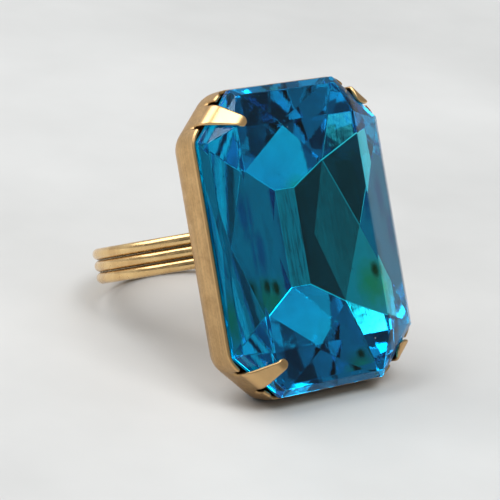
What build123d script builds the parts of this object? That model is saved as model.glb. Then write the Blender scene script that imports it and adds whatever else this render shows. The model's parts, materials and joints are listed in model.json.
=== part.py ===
from build123d import *

import os
from math import asin, atan2, cos, degrees, hypot, radians, sin, sqrt

# Cocktail ring: a 25 x 18 mm foil-backed octagon stone in a stamped brass claw cup, on a
# band of three half-round wires. Millimetres.
#
# The ring is drawn in its own axes: X across the stone, Y along its long axis, Z out of its
# face, with Z = 0 at the front edge of the girdle. It is written out in the pose in which it
# rests: +Z up, leaning back on the lower edge of the cup and the rear of the band.

# ---- Driving dimensions ----

STONE_X = 18.0  # stone width at the girdle
STONE_Y = 25.0  # stone length at the girdle
STONE_CUT = 3.8  # corner cut, measured along each side
BEVEL_IN = 0.55  # narrow first row of crown facets: inset
BEVEL_UP = 0.50  # and height
TABLE_X = 12.0  # flat table width
TABLE_Y = 18.2  # flat table length
TABLE_OFF_Y = 0.3  # the moulded table sits this far above the middle of the stone
CROWN_UP = 1.0  # table above the girdle's front edge
GIRDLE = 0.4  # girdle thickness
PAVILION = 3.75  # culet strip below the girdle's rear edge

FOIL = 0.08  # thickness of the mirror foil on the pavilion
FOIL_ENDS = 0.03  # foil growth at the two short ends

CUP_GAP_X = 0.12  # clearance from the girdle to the cup wall: long sides
CUP_GAP_Y = -0.24  # short sides, where the stone's edge lies over the rim
CUP_GAP_CORNER = 0.25  # cut corners
CUP_WALL = 0.32  # stamped sheet thickness, of the claws too
CUP_CORNER_R = 2.3  # outside corner radius between wall panels
CUP_ROUND_R = 2.7  # outside radius from wall to floor
CUP_FLOOR = 0.40  # floor thickness
CUP_FLOOR_GAP = 0.02  # foil on the culet strip to the cup floor
RIM_Z = -0.15  # high rim along the left long side and its corners, just behind the girdle's front edge
LOW_RIM_Z = -0.68  # low rim everywhere else, hidden behind the stone's edge
LOW_RIM_X = -5.75  # the low rim starts here on both short sides and runs round the right side
LOW_RIM_EASE = 0.35  # slope between the two rims
RIM_R = 0.09  # rounding of the rim edges

CLAW_BASE = 2.1  # claw width at its root
CLAW_ROOT = -2.0  # depth at which the claw leaves the wall
CLAW_RISE = -0.25  # height at which the claw starts to bend

# Each claw bends in from its root, runs straight, and hooks down at a rounded tip. Angles are in
# degrees, the lean from upright, and the tip shifts sideways towards the short side.
LONG_CLAW = {  # the two left claws, bent down on to the table
    "root_r": 0.9,
    "lean": 63.0,
    "straight": 1.4,
    "hook_r": 1.2,
    "hook": 42.0,
    "tip_r": 0.48,
    "shift": 0.9,
}
SHORT_CLAW = {  # the two right claws, which only catch the bevel
    "root_r": 0.7,
    "lean": 60.0,
    "straight": 0.2,
    "hook_r": 0.5,
    "hook": 30.0,
    "tip_r": 0.75,
    "shift": 0.0,
}
NOTCH = 0.35  # relief notch beside each claw: width
NOTCH_DEEP = 0.8  # and depth below the rim

FINGER_R = 8.65  # finger hole radius, US size 7
WIRE_W = 0.98  # half-round wire width
WIRE_FLAT = 0.45  # straight part of the wire's side, then a half circle
WIRE_PITCH = 1.02  # wire spacing; the difference is the solder seam
WIRE_EASE = 0.08  # eased inner edges of each wire
BAND_Y = 0.3  # middle of the band above the middle of the stone
SEAM_UP = 0.57  # height of a solder seam from the finger hole

PAD_X = 5.6  # saddle pad between the cup and the band: length
PAD_Y = 2.96  # and width
PAD_R = 0.8  # corner radius
PAD_CENTRE = 0.66  # thickness above the middle of the band
PAD_SINK = 0.45  # depth to which the wires are let into the pad
SOLDER = 0.05  # solder sheet between cup and pad

# ---- Worked-out places ----

GIRDLE_REAR_Z = -GIRDLE
CULET_Z = GIRDLE_REAR_Z - PAVILION
CUP_INNER_Z = CULET_Z - FOIL - CUP_FLOOR_GAP
CUP_OUTER_Z = CUP_INNER_Z - CUP_FLOOR
PAD_TOP_Z = CUP_OUTER_Z - SOLDER
BAND_R = FINGER_R + WIRE_FLAT + WIRE_W / 2
BAND_Z = PAD_TOP_Z - PAD_CENTRE - BAND_R
CUP_HALF_X = STONE_X / 2 + CUP_GAP_X + CUP_WALL
CUP_HALF_Y = STONE_Y / 2 + CUP_GAP_Y + CUP_WALL
CORNER_MID_X = STONE_X / 2 - STONE_CUT / 2
CORNER_MID_Y = STONE_Y / 2 - STONE_CUT / 2
CLAW_MID = -CUP_GAP_CORNER - CUP_WALL / 2  # middle of the corner wall, from the girdle

# Pavilion lattice, first quarter: (x, y, depth below the girdle's rear edge). The depths of
# STAR_POINT and END_POINT keep the rhombs and the end facets flat.
SIDE_POINT = (6.3, 0.0, 2.3)
INNER_POINT = (2.1, 0.0, 3.5)
STAR_X, STAR_Y = 3.9, 5.9
STAR_DEEP = SIDE_POINT[2] + (SIDE_POINT[0] - STAR_X) * (INNER_POINT[2] - SIDE_POINT[2]) / (
    SIDE_POINT[0] - INNER_POINT[0]
)
STAR_POINT = (STAR_X, STAR_Y, STAR_DEEP)
CULET_POINT = (0.95, 4.0, PAVILION)
END_Y = 9.2
END_SLOPE = (PAVILION - STAR_DEEP) / (STAR_Y - CULET_POINT[1])
END_POINT = (0.0, END_Y, PAVILION - END_SLOPE * (END_Y - CULET_POINT[1]))


# ---- Helpers ----


def octagon(half_x, half_y, cut, z):
    """Corner points of a rectangle with cut corners, anticlockwise."""
    quarter = [(half_x, half_y - cut), (half_x - cut, half_y)]
    points = []
    for sx, sy, order in ((1, 1, 1), (-1, 1, -1), (-1, -1, 1), (1, -1, -1)):
        points += [(sx * x, sy * y, z) for x, y in quarter[::order]]
    return points


def inset_cut(cut, inset):
    """Corner cut of an octagon after all eight sides move in by the same inset."""
    return cut - inset * (2 - sqrt(2))


def solid_from(polygons):
    """Closed solid from flat polygons."""
    faces = [Face(Wire.make_polygon([Vector(*p) for p in polygon])) for polygon in polygons]
    return Solid(Shell(faces))


def ring_of(lower, upper):
    """Four-sided facets between two point loops of equal length."""
    count = len(lower)
    facets = []
    for i in range(count):
        j = (i + 1) % count
        facets.append([lower[i], lower[j], upper[j], upper[i]])
    return facets


# ---- Stone and foil ----


def pavilion_facets(grow, grow_ends, grow_deep):
    """Facets below the girdle: a lattice around a flat culet strip, the same in all four quarters."""
    scale_x = 1 + grow / (STONE_X / 2)
    scale_y = 1 + grow_ends / (STONE_Y / 2)
    scale_z = 1 + grow_deep / PAVILION

    def at(point, sx, sy):
        x, y, depth = point
        return (sx * x * scale_x, sy * y * scale_y, GIRDLE_REAR_Z - depth * scale_z)

    long_corner = (STONE_X / 2, STONE_Y / 2 - STONE_CUT, 0.0)
    short_corner = (STONE_X / 2 - STONE_CUT, STONE_Y / 2, 0.0)
    facets = [[at(CULET_POINT, sx, sy) for sx, sy in ((1, 1), (-1, 1), (-1, -1), (1, -1))]]
    for sx in (1, -1):
        side, inner = at(SIDE_POINT, sx, 1), at(INNER_POINT, sx, 1)
        facets.append([at(long_corner, sx, 1), at(long_corner, sx, -1), side])
        facets.append([side, at(STAR_POINT, sx, 1), inner, at(STAR_POINT, sx, -1)])
        facets.append([inner, at(CULET_POINT, sx, 1), at(CULET_POINT, sx, -1)])
    for sy in (1, -1):
        end = at(END_POINT, 1, sy)
        right = [at(STAR_POINT, 1, sy), at(CULET_POINT, 1, sy)]
        left = [at(CULET_POINT, -1, sy), at(STAR_POINT, -1, sy)]
        facets.append([at(short_corner, 1, sy), at(short_corner, -1, sy), end])
        facets.append([end, *right, *left])
        for sx in (1, -1):
            star = at(STAR_POINT, sx, sy)
            facets.append([at(long_corner, sx, sy), at(short_corner, sx, sy), star])
            facets.append([at(long_corner, sx, sy), at(SIDE_POINT, sx, sy), star])
            facets.append([at(short_corner, sx, sy), end, star])
            facets.append([star, at(INNER_POINT, sx, sy), at(CULET_POINT, sx, sy)])
    return facets


def pavilion_block(grow, grow_ends, grow_deep):
    """The pavilion closed by a flat lid at the girdle's rear edge."""
    lid = octagon(STONE_X / 2, STONE_Y / 2, STONE_CUT, GIRDLE_REAR_Z)
    scale_x = 1 + grow / (STONE_X / 2)
    scale_y = 1 + grow_ends / (STONE_Y / 2)
    lid = [(x * scale_x, y * scale_y, z) for x, y, z in lid]
    return solid_from(pavilion_facets(grow, grow_ends, grow_deep) + [lid])


def stone():
    """Crown with a narrow bevel row, a rectangular table, a thin girdle and the pavilion."""
    rear = octagon(STONE_X / 2, STONE_Y / 2, STONE_CUT, GIRDLE_REAR_Z)
    front = octagon(STONE_X / 2, STONE_Y / 2, STONE_CUT, 0.0)
    bevel_cut = inset_cut(STONE_CUT, BEVEL_IN)
    bevel = octagon(STONE_X / 2 - BEVEL_IN, STONE_Y / 2 - BEVEL_IN, bevel_cut, BEVEL_UP)
    table = []
    for sx, sy in ((1, 1), (-1, 1), (-1, -1), (1, -1)):
        table.append((sx * TABLE_X / 2, sy * TABLE_Y / 2 + TABLE_OFF_Y, CROWN_UP))
    facets = ring_of(rear, front) + ring_of(front, bevel) + [table]
    for i in range(4):
        first, second = bevel[2 * i], bevel[2 * i + 1]
        facets.append([first, second, table[i]])
        facets.append([second, bevel[(2 * i + 2) % 8], table[(i + 1) % 4], table[i]])
    return solid_from(facets + pavilion_facets(0.0, 0.0, 0.0))


def foil_backing():
    """Mirror foil, a thin skin over every pavilion facet."""
    return pavilion_block(FOIL, FOIL_ENDS, FOIL) - pavilion_block(0.0, 0.0, 0.0)


# ---- Setting cup ----


def cup_block(half_x, half_y, corner_gap, corner_r, round_r, top_z, floor_z):
    """Octagonal dish with rounded corners and a rounded floor edge."""
    reach = STONE_X / 2 + STONE_Y / 2 - STONE_CUT + corner_gap * sqrt(2)
    cut = half_x + half_y - reach
    outline = make_face(Wire.make_polygon([Vector(*p) for p in octagon(half_x, half_y, cut, floor_z)]))
    block = extrude(outline, amount=top_z - floor_z, dir=(0, 0, 1))
    block = fillet(block.edges().filter_by(Axis.Z), corner_r)
    return fillet(block.faces().sort_by(Axis.Z)[0].edges(), round_r)


def claw_profile(bend):
    """Side view of a claw: root in the wall, a bend, a straight lean and a hooked tip."""
    sides = []
    for offset in (CUP_WALL / 2, -CUP_WALL / 2):
        start = (CLAW_MID - offset, CLAW_RISE)
        root = Line((CLAW_MID - offset, CLAW_ROOT), start)
        first = JernArc(start, (0, 1), bend["root_r"] + offset, -bend["lean"])
        middle = Line(first @ 1, (first @ 1) + (first % 1) * bend["straight"])
        second = JernArc(middle @ 1, first % 1, bend["hook_r"] + offset, -bend["hook"])
        sides.append((root, first, middle, second))
    outer, inner = sides
    ends = [Line(outer[0] @ 0, inner[0] @ 0), Line(outer[-1] @ 1, inner[-1] @ 1)]
    return Plane.XZ * make_face([*outer, *inner, *ends])


def claw_reach(bend):
    """Inward place of the end of the claw's middle line, in corner axes."""
    leant = radians(bend["lean"])
    hooked = radians(bend["lean"] + bend["hook"])
    root = bend["root_r"] * (1 - cos(leant))
    straight = bend["straight"] * sin(leant)
    tip = bend["hook_r"] * (cos(leant) - cos(hooked))
    return CLAW_MID + root + straight + tip


def claw(bend, to_end):
    """One claw in corner axes: X inward, Y along the cut corner, Z up from the girdle."""
    blade = extrude(claw_profile(bend), amount=CLAW_BASE, both=True)
    tip_r = bend["tip_r"]
    shift = to_end * bend["shift"]
    tip_x = claw_reach(bend) - tip_r
    half = CLAW_BASE / 2
    back_x = 2 * CLAW_MID
    outline = Polygon(
        (back_x, -half),
        (CLAW_MID, -half),
        (tip_x, shift - tip_r),
        (tip_x, shift + tip_r),
        (CLAW_MID, half),
        (back_x, half),
        align=None,
    )
    plan = outline + Pos(tip_x, shift) * Circle(tip_r)
    return blade & extrude(plan, amount=STONE_CUT, both=True)


def corner_places():
    """Corner axes of each cut corner, with its claw and the sign of its way to the short side."""
    places = []
    for sx, bend in ((1, SHORT_CLAW), (-1, LONG_CLAW)):
        for sy in (1, -1):
            origin = (sx * CORNER_MID_X, sy * CORNER_MID_Y, 0)
            place = Plane(origin=origin, x_dir=(-sx, -sy, 0), z_dir=(0, 0, 1)).location
            places.append((place, bend, -sx * sy))
    return places


def low_rim_cut():
    """Takes the rim down to its low height, from a slope on both short sides round the right side."""
    top = RIM_Z + CUP_WALL
    profile = Polyline(
        (LOW_RIM_X, LOW_RIM_Z),
        (STONE_X, LOW_RIM_Z),
        (STONE_X, top),
        (LOW_RIM_X - LOW_RIM_EASE, top),
        close=True,
    )
    return extrude(Plane.XZ * make_face(profile), amount=STONE_Y, both=True)


def setting_cup():
    """Stamped cup with its four claws, one piece of sheet brass."""
    outer = cup_block(
        CUP_HALF_X, CUP_HALF_Y, CUP_GAP_CORNER + CUP_WALL, CUP_CORNER_R, CUP_ROUND_R, RIM_Z, CUP_OUTER_Z
    )
    inner = cup_block(
        CUP_HALF_X - CUP_WALL, CUP_HALF_Y - CUP_WALL, CUP_GAP_CORNER,
        CUP_CORNER_R - CUP_WALL, CUP_ROUND_R - CUP_WALL, RIM_Z, CUP_INNER_Z,
    )
    cup = outer - inner
    rim = cup.faces().filter_by(Axis.Z).sort_by(Axis.Z)[-1]
    cup = fillet(rim.edges(), RIM_R) - low_rim_cut()
    notch = Box(4 * CUP_WALL, NOTCH, 2 * NOTCH_DEEP)
    side = CLAW_BASE / 2 + NOTCH / 2
    for place, bend, to_end in corner_places():
        for sy in (1, -1):
            cup -= place * Pos(CLAW_MID, sy * side, RIM_Z) * notch
        cup += place * claw(bend, to_end)
    return cup


# ---- Band ----


def band_wire(row):
    """Half-round wire bent to a hoop, flat side to the finger; row is -1, 0 or 1."""
    y = BAND_Y + row * WIRE_PITCH
    half = WIRE_W / 2
    shoulder = FINGER_R + WIRE_FLAT
    eased = FINGER_R + WIRE_EASE
    profile = make_face(
        [
            Polyline((shoulder, y + half), (eased, y + half), (FINGER_R, y + half - WIRE_EASE)),
            Line((FINGER_R, y + half - WIRE_EASE), (FINGER_R, y - half + WIRE_EASE)),
            Polyline((FINGER_R, y - half + WIRE_EASE), (eased, y - half), (shoulder, y - half)),
            ThreePointArc((shoulder, y - half), (BAND_R, y), (shoulder, y + half)),
        ]
    )
    return revolve(Pos(0, 0, BAND_Z) * profile, axis=Axis((0, 0, BAND_Z), (0, 1, 0)))


def solder_seam(side):
    """Solder between two neighbouring wires; side is -1 or 1."""
    middle = BAND_Y + side * WIRE_PITCH / 2
    low = FINGER_R + WIRE_EASE
    profile = Pos((low + FINGER_R + SEAM_UP) / 2, middle, BAND_Z) * Rectangle(
        FINGER_R + SEAM_UP - low, WIRE_PITCH - WIRE_W
    )
    return revolve(profile, axis=Axis((0, 0, BAND_Z), (0, 1, 0)))


def pad_plate(top_z, bottom_z):
    """Rounded plate under the middle of the cup."""
    outline = Pos(0, BAND_Y, bottom_z) * RectangleRounded(PAD_X, PAD_Y, PAD_R)
    return extrude(outline, amount=top_z - bottom_z)


def ring_pad(wires_and_seams):
    """Saddle pad, hollowed to the band and grooved for its wires."""
    saddle_r = BAND_R - PAD_SINK
    pad = pad_plate(PAD_TOP_Z, BAND_Z + saddle_r - PAD_CENTRE)
    pad -= Pos(0, BAND_Y, BAND_Z) * Rot(90, 0, 0) * Cylinder(saddle_r, 4 * PAD_Y)
    for piece in wires_and_seams:
        pad -= piece
    return pad


def pad_solder():
    """Thin solder sheet that joins the pad to the cup."""
    return pad_plate(CUP_OUTER_Z, PAD_TOP_Z)


# ---- Resting pose ----


def lean_angle():
    """Backward lean at which the cup's lower edge and the rear lower wire both touch down."""
    cup_y = CUP_HALF_Y - CUP_ROUND_R
    cup_z = -(CUP_OUTER_Z + CUP_ROUND_R)
    wire_y = -(BAND_Y - WIRE_PITCH)
    wire_z = FINGER_R + WIRE_FLAT - BAND_Z
    rise = cup_y - wire_y
    run = wire_z - cup_z
    extra = CUP_ROUND_R - WIRE_W / 2
    return degrees(atan2(rise, run) + asin(extra / hypot(rise, run)))


def main():
    wires = {"band_wire_upper": 1, "band_wire_middle": 0, "band_wire_lower": -1}
    seams = {"solder_seam_upper": 1, "solder_seam_lower": -1}
    nodes = {"stone": stone(), "foil_backing": foil_backing(), "setting_cup": setting_cup()}
    for name, row in wires.items():
        nodes[name] = band_wire(row)
    for name, side in seams.items():
        nodes[name] = solder_seam(side)
    nodes["ring_pad"] = ring_pad([nodes[name] for name in (*wires, *seams)])
    nodes["pad_solder"] = pad_solder()

    turn = Rot(90 - lean_angle(), 0, 0)
    turned = {name: turn * shape for name, shape in nodes.items()}
    box = Compound([solid for shape in turned.values() for solid in shape.solids()]).bounding_box()
    stand = Pos(-box.center().X, -box.center().Y, -box.min.Z)
    os.makedirs("parts", exist_ok=True)
    for name, shape in turned.items():
        export_step(stand * shape, f"parts/{name}.step")
    centre = (stand * turn * Pos(0, BAND_Y, BAND_Z)).position
    print("lean", round(lean_angle(), 4), "band centre", centre, "box", box.size)


main()
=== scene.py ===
"""Cocktail ring: the looks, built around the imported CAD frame.

Shapes are worked out in millimetres in the ring's own axes: X across the stone, Y along it and Z out of its
face, with Z = 0 at the front edge of the girdle. ring_to_world() stands them in the row frame, in metres.
"""

import json
import math

import bmesh
import bpy
from mathutils import Matrix, Vector


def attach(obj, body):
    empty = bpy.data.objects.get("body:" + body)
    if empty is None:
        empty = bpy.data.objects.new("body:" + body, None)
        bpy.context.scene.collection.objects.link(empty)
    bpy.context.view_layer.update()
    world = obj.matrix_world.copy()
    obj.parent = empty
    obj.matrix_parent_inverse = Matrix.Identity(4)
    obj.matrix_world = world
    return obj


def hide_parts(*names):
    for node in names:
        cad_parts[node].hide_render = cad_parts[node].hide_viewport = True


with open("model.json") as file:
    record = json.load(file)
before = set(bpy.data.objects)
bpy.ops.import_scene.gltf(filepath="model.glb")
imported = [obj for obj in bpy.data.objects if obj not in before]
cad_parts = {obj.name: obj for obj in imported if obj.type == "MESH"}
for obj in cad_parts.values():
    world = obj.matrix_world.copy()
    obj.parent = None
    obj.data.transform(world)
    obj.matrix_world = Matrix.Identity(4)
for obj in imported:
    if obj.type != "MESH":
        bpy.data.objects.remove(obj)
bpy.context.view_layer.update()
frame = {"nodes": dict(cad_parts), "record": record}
MM = 0.001  # one millimetre in metres

# ---- Driving dimensions, in millimetres ----

STONE_X, STONE_Y, STONE_CUT = 18.0, 25.0, 3.8  # width, length and corner cut at the girdle
BEVEL_IN, BEVEL_UP = 0.55, 0.50  # first row of crown facets: inset and height
TABLE_X, TABLE_Y, TABLE_OFF_Y = 12.0, 18.2, 0.3  # width, length and shift along the stone
CROWN_UP = 1.0
GIRDLE = 0.4
PAVILION = 3.75  # flat culet strip below the girdle's rear edge
CULET_Z = -GIRDLE - PAVILION
FACET_EDGE = 0.05  # rounding of the moulded facet edges
FLATTEST_EDGE = 3  # facets that meet at a smaller angle, in degrees, keep a sharp edge

CUP_FLOOR_Z = -4.65  # outside of the floor
CUP_ROUND_R = 2.7  # outside radius from wall to floor
CUP_CORNER_R = 2.3  # outside corner radius between wall panels
CORNER_R_LEAST = 0.35  # as the wall curves in to the floor, its corners stay at least this round
CUP_GAP_X, CUP_GAP_Y, CUP_GAP_CORNER = 0.12, -0.24, 0.25  # girdle to wall: long sides, short sides, corners
SHEET = 0.32  # thickness of the stamped sheet
RIM_Z = -0.15  # rim along the left long side and its corners
LOW_RIM_Z = -0.68  # rim along the short sides, the right long side and its corners
LOW_RIM_X, LOW_RIM_EASE = -5.75, 0.22  # where the low rim starts, and the width of the slope to the high one
NOTCH, NOTCH_DEEP = 0.35, 0.8  # relief notch beside each claw: width and depth below the high rim
CLAW_HALF = 1.05  # half the width of a claw at its root
CLAW_RISE = -0.25  # height at which a claw starts to bend
LONG_CLAW = {  # the two left claws, bent down on to the table
    "root_r": 0.9,  # bend radius at the root
    "lean": 63.0,  # turn at the root, in degrees
    "straight": 1.4,  # straight length
    "hook_r": 1.2,  # bend radius before the tip
    "hook": 42.0,  # further turn, in degrees
    "tip_r": 0.48,  # radius of the rounded tip
    "shift": 0.9,  # sideways shift of the tip towards the short side
}
SHORT_CLAW = {  # the two right claws, which only catch the bevel
    "root_r": 0.7,
    "lean": 60.0,
    "straight": 0.2,
    "hook_r": 0.5,
    "hook": 30.0,
    "tip_r": 0.75,
    "shift": 0.0,
}

FINGER_R = 8.65
WIRE_W, WIRE_FLAT, WIRE_PITCH = 0.98, 0.45, 1.02  # width, straight part of the side, spacing
WIRE_EASE = 0.08  # eased inner edges of each wire
BAND_Y, BAND_Z = 0.3, -14.95  # middle of the band

# ---- Mesh steps ----

CLAW_COLUMNS = 4  # columns of the sheet in half a claw's width
PANEL_STEPS = 6  # steps in half a long or short wall panel
CORNER_STEPS = 8  # steps round the corner between two wall panels
FLOOR_STEPS = 8  # steps round from the wall to the floor
FLOOR_RINGS = (0.8, 0.5, 0.2)  # rings across the flat floor, as shares of its outline
WALL_SHARES = (1.0, 0.82, 0.4, 0.0)  # rows of the upper wall, as shares of the way up to the rim
NOTCH_ROWS = 3  # rows of the wall that a notch cuts through
ROOT_STEPS, STRAIGHT_STEPS, HOOK_STEPS = 6, 5, 12  # steps along a claw
HALF_ROUND_STEPS = 12  # steps over the round side of a wire
HOOP_STEPS = 180  # steps round the band
NEAR = 0.01  # tolerance for a column that stands on a claw's edge

# ---- From the ring's own axes to the row frame ----


def ring_to_world():
    """The finger hole's mount gives the band's centre and axis, and so the whole ring's place."""
    hole = next(m for m in frame["record"]["mounts"] if m["name"] == "finger_hole")
    along = Vector(hole["axis"]).normalized()
    across = Vector((1, 0, 0))
    outward = across.cross(along)
    turn = Matrix((across, along, outward)).transposed()
    origin = Vector(hole["pos_m"]) - turn @ Vector((0, BAND_Y * MM, BAND_Z * MM))
    return Matrix.Translation(origin) @ turn.to_4x4() @ Matrix.Scale(MM, 4)


PLACE = ring_to_world()


def place_object(name, data):
    """A new object in the scene that holds the given mesh, light or camera."""
    placed = bpy.data.objects.new(name, data)
    bpy.context.scene.collection.objects.link(placed)
    return placed


def mesh_piece(name, points, faces, material):
    """A smooth-shaded mesh object from points in the ring's axes."""
    mesh = bpy.data.meshes.new(name)
    mesh.from_pydata([PLACE @ Vector(p) for p in points], [], faces)
    mesh.materials.append(material)
    mesh.polygons.foreach_set("use_smooth", [True] * len(mesh.polygons))
    return place_object(name, mesh)


def apply_modifiers(piece):
    """Bakes the piece's modifiers into its mesh."""
    bpy.context.view_layer.update()
    evaluated = piece.evaluated_get(bpy.context.evaluated_depsgraph_get())
    mesh = bpy.data.meshes.new_from_object(evaluated)
    piece.modifiers.clear()
    piece.data = mesh


# ---- Materials ----


def smooth_range(tree, source, low, high, at_low, at_high):
    """Goes smoothly from at_low to at_high as the source goes from low to high."""
    node = tree.nodes.new("ShaderNodeMapRange")
    node.interpolation_type = "SMOOTHSTEP"
    for socket, value in zip(node.inputs[1:5], (low, high, at_low, at_high)):
        socket.default_value = value
    tree.links.new(source, node.inputs["Value"])
    return node.outputs[0]


def combine(tree, operation, first, second):
    """Arithmetic on a socket and another socket or a number."""
    node = tree.nodes.new("ShaderNodeMath")
    node.operation = operation
    tree.links.new(first, node.inputs[0])
    if isinstance(second, float):
        node.inputs[1].default_value = second
    else:
        tree.links.new(second, node.inputs[1])
    return node.outputs[0]


class Nodes:
    """Short names for building a node tree."""

    def __init__(self, name):
        self.material = bpy.data.materials.new(name)
        self.material.use_nodes = True
        self.tree = self.material.node_tree
        self.tree.nodes.clear()
        self.output = self.add("ShaderNodeOutputMaterial")
        self.coordinates = self.add("ShaderNodeTexCoord").outputs["Object"]

    def add(self, kind, **values):
        node = self.tree.nodes.new(kind)
        for key, value in values.items():
            setattr(node, key, value)
        return node

    def link(self, source, target):
        self.tree.links.new(source, target)

    def noise(self, per_mm, detail=4.0, roughness=0.55, distortion=0.0):
        node = self.add("ShaderNodeTexNoise")
        node.inputs["Scale"].default_value = per_mm / MM
        node.inputs["Detail"].default_value = detail
        node.inputs["Roughness"].default_value = roughness
        node.inputs["Distortion"].default_value = distortion
        self.link(self.coordinates, node.inputs["Vector"])
        return node.outputs["Fac"]

    def ramp(self, source, *stops):
        node = self.add("ShaderNodeValToRGB")
        ramp = node.color_ramp
        while len(ramp.elements) < len(stops):
            ramp.elements.new(0.5)
        for element, (place, value) in zip(ramp.elements, stops):
            element.position = place
            element.color = (value, value, value, 1) if isinstance(value, float) else (*value, 1)
        self.link(source, node.inputs["Fac"])
        return node.outputs["Color"]

    def mix(self, factor, first, second, blend="MIX"):
        node = self.add("ShaderNodeMix", data_type="RGBA", blend_type=blend)
        for socket, value in zip((node.inputs[0], node.inputs[6], node.inputs[7]), (factor, first, second)):
            if isinstance(value, bpy.types.NodeSocket):
                self.link(value, socket)
            elif isinstance(value, (int, float)):
                socket.default_value = value
            else:
                socket.default_value = (*value, 1)
        return node.outputs[2]

    def bump(self, height, strength, distance_mm, normal=None):
        node = self.add("ShaderNodeBump")
        node.inputs["Strength"].default_value = strength
        node.inputs["Distance"].default_value = distance_mm * MM
        self.link(height, node.inputs["Height"])
        if normal:
            self.link(normal, node.inputs["Normal"])
        return node.outputs["Normal"]


def ring_axes(n):
    """The shaded point in the ring's own axes, in millimetres."""
    inverse = PLACE.inverted()
    rows = []
    for i in range(3):
        dot = n.add("ShaderNodeVectorMath", operation="DOT_PRODUCT")
        n.link(n.coordinates, dot.inputs[0])
        dot.inputs[1].default_value = inverse[i][:3]
        rows.append(combine(n.tree, "ADD", dot.outputs["Value"], inverse[i][3]))
    joined = n.add("ShaderNodeCombineXYZ")
    for row, socket in zip(rows, joined.inputs):
        n.link(row, socket)
    return joined.outputs[0]


GLASS_IOR = 1.52
GLASS_COLOUR = (0.0, 0.934, 0.988, 1)  # what the glass lets through
GLASS_DENSITY = 500.0  # absorption per metre
SCUFFED_FROM, SCUFFED_TO = TABLE_X / 2 - 0.1, TABLE_X / 2 + 0.3  # scuffing sets in at the table's right edge
SCUFFED_CLEAR = 0.90  # clearness left beyond it
SPECKS_PER_MM = 0.55


def stone_glass():
    """Deep teal-blue glass, coloured by absorption, with a few specks and a scuffed right-hand crown."""
    n = Nodes("stone_glass")
    surface = n.add("ShaderNodeBsdfPrincipled")
    surface.inputs["IOR"].default_value = GLASS_IOR
    # The specks' link below overrides this value, which is for readers that don't follow links.
    surface.inputs["Transmission Weight"].default_value = 1.0
    surface.inputs["Specular Tint"].default_value = (0.60, 0.85, 1.0, 1)
    tint = n.ramp(n.noise(0.25, detail=3.0), (0.3, (0.86, 0.95, 1.0)), (0.7, (0.94, 1.0, 1.0)))
    n.link(tint, surface.inputs["Base Color"])
    rubbed = n.ramp(n.noise(1.1, detail=6.0, roughness=0.7), (0.55, 0.0), (0.8, 0.02))
    n.link(rubbed, surface.inputs["Roughness"])
    waves = n.bump(n.noise(0.30, detail=1.0), 0.08, 0.02)
    n.link(waves, surface.inputs["Normal"])
    depth = n.add("ShaderNodeVolumeAbsorption")
    depth.inputs["Color"].default_value = GLASS_COLOUR
    depth.inputs["Density"].default_value = GLASS_DENSITY
    dust = n.add("ShaderNodeTexVoronoi")
    dust.inputs["Scale"].default_value = SPECKS_PER_MM / MM
    n.link(n.coordinates, dust.inputs["Vector"])
    specks = n.ramp(dust.outputs["Distance"], (0.020, 0.35), (0.034, 1.0))
    across = n.add("ShaderNodeSeparateXYZ")
    n.link(ring_axes(n), across.inputs[0])
    scuffed = smooth_range(n.tree, across.outputs["X"], SCUFFED_FROM, SCUFFED_TO, 1.0, SCUFFED_CLEAR)
    n.link(n.mix(1.0, specks, scuffed, "MULTIPLY"), surface.inputs["Transmission Weight"])
    n.link(surface.outputs["BSDF"], n.output.inputs["Surface"])
    n.link(depth.outputs["Volume"], n.output.inputs["Volume"])
    return n.material


NOISE_MEAN = 0.5


def spot(n, place, centre, radii, soft):
    """1 inside an ellipsoid with a ragged edge, 0 outside."""
    mapping = n.add("ShaderNodeMapping", vector_type="TEXTURE")
    mapping.inputs["Location"].default_value = centre
    mapping.inputs["Scale"].default_value = radii
    n.link(place, mapping.inputs["Vector"])
    length = n.add("ShaderNodeVectorMath", operation="LENGTH")
    n.link(mapping.outputs["Vector"], length.inputs[0])
    ragged = combine(n.tree, "ADD", n.noise(0.9, detail=5.0, roughness=0.65), length.outputs["Value"])
    level = combine(n.tree, "SUBTRACT", ragged, NOISE_MEAN)
    return n.ramp(level, (0.0, 1.0), (1.0 - soft, 1.0), (1.0, 0.0))


def streaky_noise(n, place, per_mm, detail):
    """Noise with its own scale along each of the ring's axes."""
    stretch = n.add("ShaderNodeMapping")
    stretch.inputs["Scale"].default_value = per_mm
    n.link(place, stretch.inputs["Vector"])
    noise = n.add("ShaderNodeTexNoise")
    noise.inputs["Scale"].default_value = 1.0
    noise.inputs["Detail"].default_value = detail
    n.link(stretch.outputs["Vector"], noise.inputs["Vector"])
    return noise.outputs["Fac"]


SILVER = (0.97, 0.98, 0.98)
FOIL_ROUGHNESS = 0.025
# Marks on the foil: centre, radii and softness of the edge.
STREAKED_STRIP = ((0.0, 0.0, CULET_Z), (1.7, 5.5, 1.0), 0.4)
TARNISHED = (((-4.4, 2.4, -3.2), (0.7, 2.2, 1.4), 0.6), ((-3.6, -0.8, -3.4), (0.7, 2.2, 1.4), 0.6))
STAIN_HALO = ((6.4, -5.0, -2.3), (1.7, 2.6, 2.0), 0.8)
STAIN_CORE = ((6.8, -3.8, -2.1), (0.42, 0.85, 0.8), 0.7)


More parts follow.
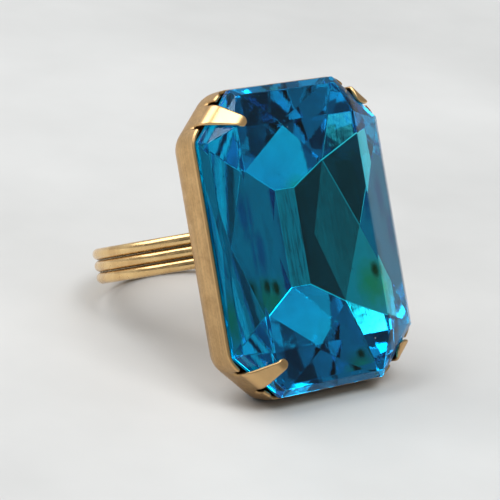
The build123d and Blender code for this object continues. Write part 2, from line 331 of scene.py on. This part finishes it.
def foil_mirror():
    """Silvered foil: streaked culet strip, tarnish, dark pits and a stain where the silver has failed."""
    n = Nodes("foil_mirror")
    place = ring_axes(n)
    surface = n.add("ShaderNodeBsdfPrincipled")
    surface.inputs["Metallic"].default_value = 1.0
    shaded = tuple(0.90 * c for c in SILVER)
    silver = n.ramp(n.noise(0.8, detail=6.0), (0.35, shaded), (0.65, SILVER))
    lines = streaky_noise(n, place, (5.0, 0.45, 1.0), 4.0)
    streaks = n.ramp(lines, (0.38, 0.55), (0.55, 1.0))
    dull = n.mix(1.0, silver, (0.80, 0.86, 0.92), "MULTIPLY")
    streaked = n.mix(1.0, dull, streaks, "MULTIPLY")
    tint = n.mix(spot(n, place, *STREAKED_STRIP), silver, streaked)
    for mark in TARNISHED:
        tarnished = n.mix(1.0, tint, (0.45, 0.50, 0.75), "MULTIPLY")
        tint = n.mix(spot(n, place, *mark), tint, tarnished)
    pits = n.add("ShaderNodeTexVoronoi")
    pits.inputs["Scale"].default_value = 1.1
    n.link(place, pits.inputs["Vector"])
    pitted = n.ramp(pits.outputs["Distance"], (0.04, 0.12), (0.08, 1.0))
    tint = n.mix(1.0, tint, pitted, "MULTIPLY")
    tint = n.mix(spot(n, place, *STAIN_HALO), tint, (1.0, 0.84, 0.36))
    tint = n.mix(spot(n, place, *STAIN_CORE), tint, (0.30, 0.14, 0.03))
    n.link(tint, surface.inputs["Base Color"])
    surface.inputs["Roughness"].default_value = FOIL_ROUGHNESS
    ripple = n.bump(n.noise(0.5, detail=2.0), 0.25, 0.02)
    lacquer = n.bump(lines, 0.06, 0.02, ripple)
    n.link(lacquer, surface.inputs["Normal"])
    n.link(surface.outputs["BSDF"], n.output.inputs["Surface"])
    return n.material


POLISHED_FROM, POLISHED_TO = -0.50, -0.12  # handling has polished the rim and the claws
POLISHED_SHARE = 0.75
POLISHED_ROUGHNESS = (0.32, 0.32, 0.32)
LOWER_END, UPPER_END = -14.0, 6.0  # painted shade: the brass darkens towards the lower end of the ring
LOWER_END_SHADE = 0.76
CREVICE_SHADE_REACH = 0.5  # reach of the painted shade in crevices


def brass(name, bright, dark, roughness, patina, drawn_lines, crevice_shade):
    """Raw brass: mottled patina, drawing lines, polished claws, painted shade towards the lower end and
    painted shade in crevices.
    """
    n = Nodes(name)
    place = ring_axes(n)
    surface = n.add("ShaderNodeBsdfPrincipled")
    surface.inputs["Metallic"].default_value = 1.0
    mottle = n.ramp(n.noise(0.55, detail=7.0, roughness=0.62, distortion=0.4), (0.32, 0.0), (0.72, 1.0))
    speckle = n.ramp(n.noise(5.0, detail=3.0), (0.45, 0.0), (0.75, 1.0))
    colour = n.mix(mottle, bright, dark)
    flecks = n.mix(speckle, (0, 0, 0), (patina, patina, patina))
    colour = n.mix(flecks, colour, tuple(0.6 * c for c in dark))
    lines = streaky_noise(n, place, (6.0, 0.22, 6.0), 5.0)
    lined = n.mix(1.0, colour, n.ramp(lines, (0.35, 0.75), (0.62, 1.08)), "MULTIPLY")
    colour = n.mix(drawn_lines, colour, lined)
    split = n.add("ShaderNodeSeparateXYZ")
    n.link(place, split.inputs[0])
    polished = smooth_range(n.tree, split.outputs["Z"], POLISHED_FROM, POLISHED_TO, 0.0, POLISHED_SHARE)
    colour = n.mix(polished, colour, tuple(min(1.0, 1.25 * c) for c in bright))
    # painted shade: the colour darkens towards the lower end of the ring
    painted_end_shade = smooth_range(n.tree, split.outputs["Y"], LOWER_END, UPPER_END, LOWER_END_SHADE, 1.0)
    colour = n.mix(1.0, colour, painted_end_shade, "MULTIPLY")
    # painted shade: ambient occlusion darkens the colour in crevices and between the wires
    occlusion = n.add("ShaderNodeAmbientOcclusion", samples=8)
    occlusion.inputs["Distance"].default_value = CREVICE_SHADE_REACH * MM
    painted_crevice_shade = n.ramp(occlusion.outputs["AO"], (0.35, crevice_shade), (0.85, 1.0))
    colour = n.mix(1.0, colour, painted_crevice_shade, "MULTIPLY")
    n.link(colour, surface.inputs["Base Color"])
    rough = n.ramp(n.noise(1.4, detail=5.0), (0.3, roughness - 0.08), (0.7, roughness + 0.10))
    n.link(n.mix(polished, rough, POLISHED_ROUGHNESS), surface.inputs["Roughness"])
    grain = n.bump(n.noise(9.0, detail=4.0), 0.25, 0.01)
    drawn = n.bump(lines, 0.4 * drawn_lines, 0.02, grain)
    dents = n.bump(n.noise(0.45, detail=2.0), 0.35, 0.06, drawn)
    n.link(dents, surface.inputs["Normal"])
    n.link(surface.outputs["BSDF"], n.output.inputs["Surface"])
    return n.material


# ---- Stone ----


def octagon(half_x, half_y, cut, z):
    """Corner points of a rectangle with cut corners, anticlockwise."""
    quarter = [(half_x, half_y - cut), (half_x - cut, half_y)]
    points = []
    for sx, sy, order in ((1, 1, 1), (-1, 1, -1), (-1, -1, 1), (1, -1, -1)):
        points += [(sx * x, sy * y, z) for x, y in quarter[::order]]
    return points


SIDE_POINT = (6.3, 0.0, 2.3)  # (x, y, depth below the girdle) in the first quarter of the pavilion
INNER_POINT = (2.1, 0.0, 3.5)
STAR_X, STAR_Y = 3.9, 5.9
RHOMB_SLOPE = (INNER_POINT[2] - SIDE_POINT[2]) / (SIDE_POINT[0] - INNER_POINT[0])
STAR_POINT = (STAR_X, STAR_Y, SIDE_POINT[2] + (SIDE_POINT[0] - STAR_X) * RHOMB_SLOPE)
CULET_POINT = (0.95, 4.0, PAVILION)
END_Y = 9.2
END_SLOPE = (PAVILION - STAR_POINT[2]) / (STAR_Y - CULET_POINT[1])
END_POINT = (0.0, END_Y, PAVILION - END_SLOPE * (END_Y - CULET_POINT[1]))


def pavilion_facets():
    """Facets below the girdle: a lattice around a flat culet strip, the same in all four quarters."""

    def at(point, sx, sy):
        """The point in another quarter, as a place in the ring's axes."""
        return (sx * point[0], sy * point[1], -GIRDLE - point[2])

    long_corner = (STONE_X / 2, STONE_Y / 2 - STONE_CUT, 0.0)
    short_corner = (STONE_X / 2 - STONE_CUT, STONE_Y / 2, 0.0)
    facets = [[at(CULET_POINT, sx, sy) for sx, sy in ((1, 1), (-1, 1), (-1, -1), (1, -1))]]
    for sx in (1, -1):
        side, inner = at(SIDE_POINT, sx, 1), at(INNER_POINT, sx, 1)
        facets.append([at(long_corner, sx, 1), at(long_corner, sx, -1), side])
        facets.append([side, at(STAR_POINT, sx, 1), inner, at(STAR_POINT, sx, -1)])
        facets.append([inner, at(CULET_POINT, sx, 1), at(CULET_POINT, sx, -1)])
    for sy in (1, -1):
        end = at(END_POINT, 1, sy)
        right = [at(STAR_POINT, 1, sy), at(CULET_POINT, 1, sy)]
        left = [at(CULET_POINT, -1, sy), at(STAR_POINT, -1, sy)]
        facets.append([at(short_corner, 1, sy), at(short_corner, -1, sy), end])
        facets.append([end, *right, *left])
        for sx in (1, -1):
            star = at(STAR_POINT, sx, sy)
            facets.append([at(long_corner, sx, sy), at(short_corner, sx, sy), star])
            facets.append([at(long_corner, sx, sy), at(SIDE_POINT, sx, sy), star])
            facets.append([at(short_corner, sx, sy), end, star])
            facets.append([star, at(INNER_POINT, sx, sy), at(CULET_POINT, sx, sy)])
    return facets


def crown_facets():
    """Girdle band, narrow bevel row, four main facets, four corner triangles and the table."""
    rear = octagon(STONE_X / 2, STONE_Y / 2, STONE_CUT, -GIRDLE)
    front = octagon(STONE_X / 2, STONE_Y / 2, STONE_CUT, 0.0)
    bevel_cut = STONE_CUT - BEVEL_IN * (2 - math.sqrt(2))
    bevel = octagon(STONE_X / 2 - BEVEL_IN, STONE_Y / 2 - BEVEL_IN, bevel_cut, BEVEL_UP)
    signs = ((1, 1), (-1, 1), (-1, -1), (1, -1))
    table = [(sx * TABLE_X / 2, sy * TABLE_Y / 2 + TABLE_OFF_Y, CROWN_UP) for sx, sy in signs]
    facets = [table]
    for lower, upper in ((rear, front), (front, bevel)):
        for i in range(8):
            facets.append([lower[i], lower[i - 7], upper[i - 7], upper[i]])
    for i in range(4):
        facets.append([bevel[2 * i], bevel[2 * i + 1], table[i]])
        facets.append([bevel[2 * i + 1], bevel[2 * i - 6], table[i - 3], table[i]])
    return facets


def build_stone(glass, mirror):
    """One closed body: glass in front, mirror foil on the pavilion facets."""
    bm = bmesh.new()
    seen = {}
    for index, facets in enumerate((crown_facets(), pavilion_facets())):
        for facet in facets:
            corners = []
            for p in facet:
                key = tuple(round(c, 5) for c in p)
                if key not in seen:
                    seen[key] = bm.verts.new(PLACE @ Vector(p))
                corners.append(seen[key])
            bm.faces.new(corners).material_index = index
    bmesh.ops.recalc_face_normals(bm, faces=bm.faces)
    mesh = bpy.data.meshes.new("stone_gem")
    bm.to_mesh(mesh)
    bm.free()
    mesh.materials.append(glass)
    mesh.materials.append(mirror)
    stone = place_object("stone_gem", mesh)
    edges = stone.modifiers.new("edges", "BEVEL")
    edges.width = FACET_EDGE * MM
    edges.segments = 2
    edges.limit_method = "ANGLE"
    edges.angle_limit = math.radians(FLATTEST_EDGE)
    apply_modifiers(stone)
    return stone


# ---- Setting cup: a bent sheet, thickened ----


def cup_outline(inset):
    """Middle line of the cup's wall, moved inwards, as columns of (place, outward normal, corner, stop).

    Corner is the number of the cut corner that the column stands on, or None, and stop is its distance from
    the middle of its panel.
    """
    half_x = STONE_X / 2 + CUP_GAP_X + SHEET / 2
    half_y = STONE_Y / 2 + CUP_GAP_Y + SHEET / 2
    reach = STONE_X / 2 + STONE_Y / 2 - STONE_CUT + (CUP_GAP_CORNER + SHEET / 2) * math.sqrt(2)
    cut = half_x + half_y - reach - inset * (2 - math.sqrt(2))
    corners = [Vector((x, y)) for x, y, _ in octagon(half_x - inset, half_y - inset, cut, 0)]
    half_turn = math.tan(math.radians(22.5))
    full_radius = CUP_CORNER_R - SHEET / 2
    radius = max(full_radius - inset, CORNER_R_LEAST)
    columns = []
    for i in range(8):
        start, end = corners[i], corners[(i + 1) % 8]
        along = (end - start).normalized()
        normal = Vector((along.y, -along.x))
        flat = (end - start).length / 2 - radius * half_turn
        full_flat = (end - start).length / 2 - (full_radius - inset) * half_turn
        middle = (start + end) / 2
        if i % 2 == 0:
            claw = [CLAW_HALF * k / CLAW_COLUMNS for k in range(-CLAW_COLUMNS, CLAW_COLUMNS + 1)]
            stops = [-full_flat, -CLAW_HALF - NOTCH, *claw, CLAW_HALF + NOTCH, full_flat]
        else:
            stops = [full_flat * k / PANEL_STEPS for k in range(-PANEL_STEPS, PANEL_STEPS + 1)]
        for stop in stops:
            place = middle + along * stop * flat / full_flat
            columns.append((place, normal, i // 2 if i % 2 == 0 else None, stop))
        turn_from = math.atan2(normal.y, normal.x)
        centre = middle + along * flat - normal * radius
        for k in range(1, CORNER_STEPS):
            angle = turn_from + math.radians(45) * k / CORNER_STEPS
            out = Vector((math.cos(angle), math.sin(angle)))
            columns.append((centre + out * radius, out, None, 0.0))
    return columns


def on_claw(corner, stop):
    """Whether a column carries a claw."""
    return corner is not None and abs(stop) <= CLAW_HALF + NEAR


def rim_height(place, corner, stop):
    """Rim of the wall: high on the left, low behind the stone's ends and right side, cut to a claw's root."""
    if on_claw(corner, stop):
        return CLAW_RISE
    past = (LOW_RIM_X - place.x) / LOW_RIM_EASE
    return LOW_RIM_Z + (RIM_Z - LOW_RIM_Z) * max(0.0, min(1.0, past))


def wall_rows():
    """(inset, height, share) of the wall's rows from the rim round to the floor.

    The share says how far a row is raised from its own height towards the rim above it.
    """
    radius = CUP_ROUND_R - SHEET / 2
    floor = CUP_FLOOR_Z + SHEET / 2
    shoulder = RIM_Z - NOTCH_DEEP
    rows = [(0.0, shoulder, share) for share in WALL_SHARES]
    rows.append((0.0, floor + radius, 0.0))
    for k in range(1, FLOOR_STEPS + 1):
        angle = math.radians(90) * k / FLOOR_STEPS
        rows.append((radius * (1 - math.cos(angle)), floor + radius * (1 - math.sin(angle)), 0.0))
    return rows


def claw_rows(root_r, lean, straight, hook_r, hook, tip_r, shift):
    """(inward, height, half width, sideways shift) along a claw, from its root to its rounded tip."""
    a = math.radians(lean)
    b = math.radians(hook)
    path = []
    for k in range(1, ROOT_STEPS + 1):
        t = a * k / ROOT_STEPS
        path.append((root_r * (1 - math.cos(t)), CLAW_RISE + root_r * math.sin(t)))
    x0, z0 = path[-1]
    for k in range(1, STRAIGHT_STEPS + 1):
        step = straight * k / STRAIGHT_STEPS
        path.append((x0 + step * math.sin(a), z0 + step * math.cos(a)))
    x0, z0 = path[-1]
    for k in range(1, HOOK_STEPS + 1):
        t = a + b * k / HOOK_STEPS
        x = x0 + hook_r * (math.cos(a) - math.cos(t))
        z = z0 + hook_r * (math.sin(t) - math.sin(a))
        path.append((x, z))
    tip = path[-1][0] - tip_r
    rows = []
    for x, z in path:
        along = max(0.0, min(1.0, x / max(tip, tip_r)))
        half = CLAW_HALF + (tip_r - CLAW_HALF) * along
        over = max(0.0, x - tip) / tip_r
        rows.append((x, z, half * math.sqrt(max(0.05, 1 - over * over)), shift * along))
    return rows


def in_notch(first, second):
    """Whether the sheet between two neighbouring columns is cut away beside a claw."""
    if first[2] is None or second[2] is None:
        return False
    nearer, further = sorted((abs(first[3]), abs(second[3])))
    return nearer >= CLAW_HALF - NEAR and further <= CLAW_HALF + NOTCH + NEAR


def add_wall_and_floor(columns, points, faces):
    """Adds the notched wall, its rounding and the flat floor."""
    count = len(columns)
    rows = wall_rows()
    for inset, z, share in rows:
        for place, _, corner, stop in cup_outline(inset):
            points.append((place.x, place.y, z + share * (rim_height(place, corner, stop) - z)))
    for r in range(len(rows) - 1):
        for c in range(count):
            d = (c + 1) % count
            if r < NOTCH_ROWS and in_notch(columns[c], columns[d]):
                continue
            faces.append([r * count + c, r * count + d, (r + 1) * count + d, (r + 1) * count + c])
    outline = previous = len(points) - count
    for share in FLOOR_RINGS:
        start = len(points)
        for c in range(count):
            x, y, z = points[outline + c]
            points.append((x * share, y * share, z))
        for c in range(count):
            d = (c + 1) % count
            faces.append([previous + c, previous + d, start + d, start + c])
        previous = start
    faces.append([previous + c for c in range(count)])


def add_claw(number, columns, points, faces):
    """Adds one claw, grown from the top row of the wall at its corner."""
    below = [c for c in range(len(columns)) if columns[c][2] == number and on_claw(*columns[c][2:])]
    claw_columns = [columns[c] for c in below]
    to_end = 1 if number % 2 == 0 else -1
    bend = LONG_CLAW if number in (1, 2) else SHORT_CLAW
    for inward, z, half, shift in claw_rows(**bend):
        row = []
        for place, normal, _, stop in claw_columns:
            along = Vector((-normal.y, normal.x))
            side = stop * (half / CLAW_HALF - 1) + to_end * shift
            q = place - normal * inward + along * side
            row.append(len(points))
            points.append((q.x, q.y, z))
        for k in range(len(row) - 1):
            faces.append([below[k], row[k], row[k + 1], below[k + 1]])
        below = row


def build_cup(material):
    """Wall, floor and claws as one sheet, then thickened and rounded."""
    columns = cup_outline(0.0)
    points, faces = [], []
    add_wall_and_floor(columns, points, faces)
    for number in range(4):
        add_claw(number, columns, points, faces)
    cup = mesh_piece("cup_shell", points, faces, material)
    bm = bmesh.new()
    bm.from_mesh(cup.data)
    bmesh.ops.recalc_face_normals(bm, faces=bm.faces)
    bm.to_mesh(cup.data)
    bm.free()
    sheet = cup.modifiers.new("sheet", "SOLIDIFY")
    sheet.thickness = SHEET * MM
    sheet.offset = 0.0
    sheet.use_even_offset = True
    smooth = cup.modifiers.new("smooth", "SUBSURF")
    smooth.levels = smooth.render_levels = 1
    apply_modifiers(cup)
    return cup


# ---- Band ----


def build_wire(name, row, material):
    """Half-round wire bent to a hoop, flat side to the finger."""
    half = WIRE_W / 2
    shoulder = FINGER_R + WIRE_FLAT
    eased = WIRE_EASE * 0.3  # about how far a quarter circle of that radius stays off its corner
    edge = [(FINGER_R, half - WIRE_EASE), (FINGER_R + eased, half - eased), (FINGER_R + WIRE_EASE, half)]
    profile = list(edge)
    for k in range(HALF_ROUND_STEPS + 1):
        angle = math.radians(90 - 180 * k / HALF_ROUND_STEPS)
        profile.append((shoulder + half * math.cos(angle), half * math.sin(angle)))
    profile += [(r, -y) for r, y in reversed(edge)]
    points, faces = [], []
    size = len(profile)
    for i in range(HOOP_STEPS):
        angle = 2 * math.pi * i / HOOP_STEPS
        for r, y in profile:
            points.append((r * math.sin(angle), BAND_Y + row * WIRE_PITCH + y, BAND_Z + r * math.cos(angle)))
        for k in range(size):
            here, there = i * size, (i + 1) % HOOP_STEPS * size
            following = (k + 1) % size
            faces.append([here + k, here + following, there + following, there + k])
    return mesh_piece(name, points, faces, material)


# ---- Stage: floor, lights and camera, in metres ----

FLOOR_HALF = 1.5
LIT_POINT = Vector((0, 0, 0.01))
KEY_LIGHT = {"azimuth": -140, "elevation": 50, "distance": 0.6, "size": 0.5, "watts": 2.5}
FILL_LIGHT = {"azimuth": 10, "elevation": 66, "distance": 0.5, "size": 0.25, "watts": 1.0}
STUDIO_COLOUR = (0.95, 0.98, 1.0, 1)
STUDIO = (  # (axis, low, high, strength at low, strength at high), added up
    ("Z", 0.62, 0.98, 0.24, 0.75),  # brighter overhead
    ("Y", 0.10, 0.90, 0.0, 0.38),  # and behind the ring
)
CARDS = (  # (azimuth, elevation, inner and outer radius in degrees, strength against the studio behind)
    (-4, 28, 7.0, 14.0, 0.12),
    (-55, 5, 6.0, 10.5, 0.12),
    (64, 12, 8.0, 14.0, 2.0),
    (-75, 17, 4.0, 9.0, 3.0),
)
CAMERA_PLACE = Vector((-131.0, 0.83, 181.8))  # in the ring's own axes, in millimetres
CAMERA_RIGHT = Vector((0.8113, -0.168, 0.560))
CAMERA_FORWARD = Vector((0.5673, -0.0056, -0.8235))
LENS, SENSOR = 199.0, 36.0  # in millimetres
GLOSSY_BOUNCES = 12  # light crosses the stone several times between its facets


def build_floor():
    """Plain pale floor."""
    n = Nodes("pale_floor")
    surface = n.add("ShaderNodeBsdfPrincipled")
    shade = n.ramp(n.noise(0.02, detail=5.0), (0.3, (0.56, 0.56, 0.55)), (0.7, (0.70, 0.70, 0.69)))
    n.link(shade, surface.inputs["Base Color"])
    surface.inputs["Roughness"].default_value = 0.6
    n.link(surface.outputs["BSDF"], n.output.inputs["Surface"])
    signs = ((-1, -1), (1, -1), (1, 1), (-1, 1))
    mesh = bpy.data.meshes.new("floor")
    mesh.from_pydata([(sx * FLOOR_HALF, sy * FLOOR_HALF, 0) for sx, sy in signs], [], [[0, 1, 2, 3]])
    mesh.materials.append(n.material)
    place_object("floor", mesh)


def direction(azimuth, elevation):
    """Unit vector; azimuth 0 is straight in front of the stone and grows towards +X."""
    a, e = math.radians(azimuth), math.radians(elevation)
    return Vector((math.sin(a) * math.cos(e), -math.cos(a) * math.cos(e), math.sin(e)))


def area_light(name, azimuth, elevation, distance, size, watts):
    """A square soft light aimed at the ring."""
    data = bpy.data.lights.new(name, "AREA")
    data.shape = "RECTANGLE"
    data.size = data.size_y = size
    data.energy = watts
    light = place_object(name, data)
    light.location = distance * direction(azimuth, elevation)
    light.rotation_euler = (LIT_POINT - light.location).to_track_quat("-Z", "Y").to_euler()


def build_world():
    """Grey studio, brighter overhead and behind, with soft-edged dark and bright cards."""
    world = bpy.data.worlds.new("studio")
    world.use_nodes = True
    bpy.context.scene.world = world
    tree = world.node_tree
    background = tree.nodes["Background"]
    coordinates = tree.nodes.new("ShaderNodeTexCoord").outputs["Generated"]
    split = tree.nodes.new("ShaderNodeSeparateXYZ")
    tree.links.new(coordinates, split.inputs[0])
    parts = [smooth_range(tree, split.outputs[axis], *values) for axis, *values in STUDIO]
    strength = combine(tree, "ADD", *parts)
    for azimuth, elevation, inner, outer, share in CARDS:
        dot = tree.nodes.new("ShaderNodeVectorMath")
        dot.operation = "DOT_PRODUCT"
        dot.inputs[1].default_value = direction(azimuth, elevation)
        tree.links.new(coordinates, dot.inputs[0])
        edges = (math.cos(math.radians(outer)), math.cos(math.radians(inner)))
        card = smooth_range(tree, dot.outputs["Value"], *edges, 1.0, share)
        strength = combine(tree, "MULTIPLY", strength, card)
    background.inputs["Color"].default_value = STUDIO_COLOUR
    tree.links.new(strength, background.inputs["Strength"])


def build_camera():
    """Camera in the ring's own axes: in front of the stone, to its left."""
    right = CAMERA_RIGHT.normalized()
    forward = CAMERA_FORWARD.normalized()
    up = right.cross(forward).normalized()
    right = forward.cross(up)
    turn = PLACE.to_3x3().normalized()
    axes = Matrix((turn @ right, turn @ up, turn @ -forward)).transposed()
    data = bpy.data.cameras.new("camera")
    data.lens = LENS
    data.sensor_width = SENSOR
    data.clip_start = 0.01
    camera = place_object("camera", data)
    camera.matrix_world = Matrix.Translation(PLACE @ CAMERA_PLACE) @ axes.to_4x4()
    bpy.context.scene.camera = camera


# ---- Everything together ----

BRASSES = {
    "cup_brass": {
        "bright": (0.72, 0.46, 0.21),
        "dark": (0.48, 0.29, 0.12),
        "roughness": 0.38,
        "patina": 0.3,
        "drawn_lines": 0.5,
        "crevice_shade": 0.35,
    },
    "band_brass": {
        "bright": (0.92, 0.64, 0.30),
        "dark": (0.70, 0.44, 0.19),
        "roughness": 0.22,
        "patina": 0.12,
        "drawn_lines": 0.0,
        "crevice_shade": 0.55,
    },
    "pad_brass": {
        "bright": (0.72, 0.47, 0.22),
        "dark": (0.48, 0.29, 0.13),
        "roughness": 0.36,
        "patina": 0.3,
        "drawn_lines": 0.3,
        "crevice_shade": 0.5,
    },
    "solder": {
        "bright": (0.72, 0.58, 0.38),
        "dark": (0.52, 0.40, 0.25),
        "roughness": 0.42,
        "patina": 0.3,
        "drawn_lines": 0.0,
        "crevice_shade": 0.6,
    },
}
CAD_PIECES = {  # pieces that keep their CAD shape and only get a material
    "ring_pad": "pad_brass",
    "pad_solder": "solder",
    "solder_seam_upper": "solder",
    "solder_seam_lower": "solder",
}


def finish_piece(piece, slot, *nodes):
    """Every piece rides the ring's one body and stands in for its CAD nodes."""
    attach(piece, "root")
    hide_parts(*nodes)


def main():
    glass, mirror = stone_glass(), foil_mirror()
    metals = {name: brass(name, **look) for name, look in BRASSES.items()}
    finish_piece(build_stone(glass, mirror), "stone_glass", "stone", "foil_backing")
    finish_piece(build_cup(metals["cup_brass"]), "cup_brass", "setting_cup")
    for name, row in (("upper", 1), ("middle", 0), ("lower", -1)):
        wire = build_wire(f"wire_{name}", row, metals["band_brass"])
        finish_piece(wire, "band_brass", f"band_wire_{name}")
    for node, metal in CAD_PIECES.items():
        materials = frame["nodes"][node].data.materials
        materials.clear()
        materials.append(metals[metal])

    build_floor()
    build_world()
    area_light("key", **KEY_LIGHT)
    area_light("fill", **FILL_LIGHT)
    build_camera()
    bpy.context.scene.view_settings.view_transform = "Standard"
    bpy.context.scene.cycles.glossy_bounces = GLOSSY_BOUNCES


main()
